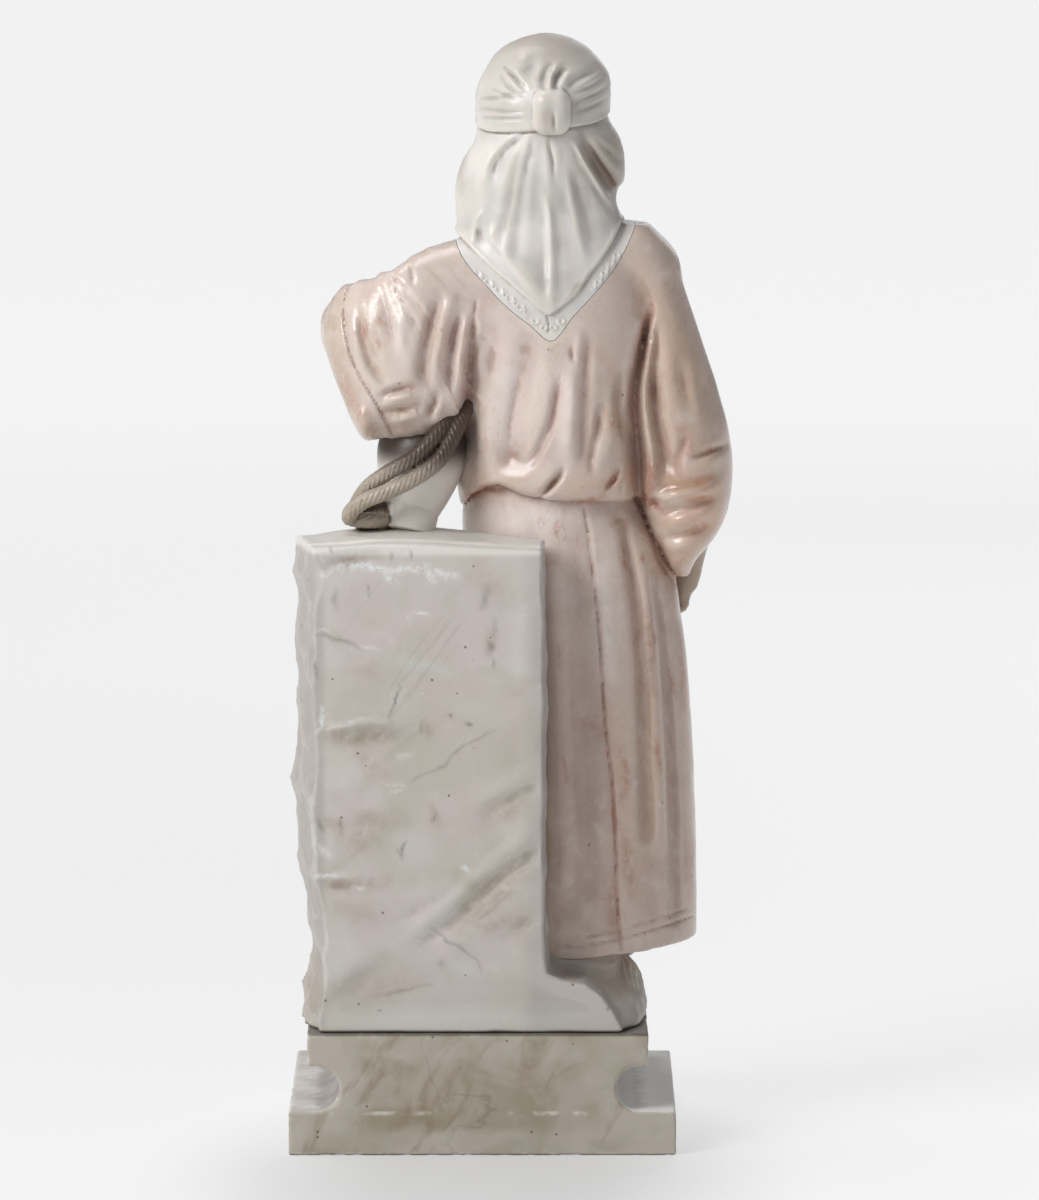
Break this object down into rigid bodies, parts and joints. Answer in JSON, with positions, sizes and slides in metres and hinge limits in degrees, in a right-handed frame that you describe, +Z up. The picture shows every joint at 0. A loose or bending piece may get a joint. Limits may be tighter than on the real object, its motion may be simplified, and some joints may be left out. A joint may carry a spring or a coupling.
{
  "type": "female figure with vase",
  "caption": "Carved alabaster statuette of a veiled woman leaning on a vase on a rough rock, on a moulded plinth.",
  "frame": {"origin": "centre of the plinth's underside", "axes": "+Z up; -Y is the way the figure faces; +X is the figure's left, the side of the rock and vase"},
  "size_m": [0.284, 0.2, 0.711],
  "materials": {
    "plinth_stone": "satin brown-grey alabaster, scuffed at the edges",
    "rock_stone": "satin grey alabaster, greenish, with pink patches and dark veins",
    "dress_stone": "satin pink alabaster with rust stains in its folds",
    "veil_stone": "polished pale grey alabaster",
    "vase_stone": "polished pale grey alabaster, the rope browner",
    "skin_stone": "polished pale grey alabaster"
  },
  "bodies": {
    "root": {"plinth": "plinth_stone", "rock": "rock_stone", "dress": "dress_stone", "head_and_veil": "veil_stone", "vase_and_rope": "vase_stone", "right_forearm": "skin_stone", "left_forearm": "skin_stone"}
  },
  "joints": []
}
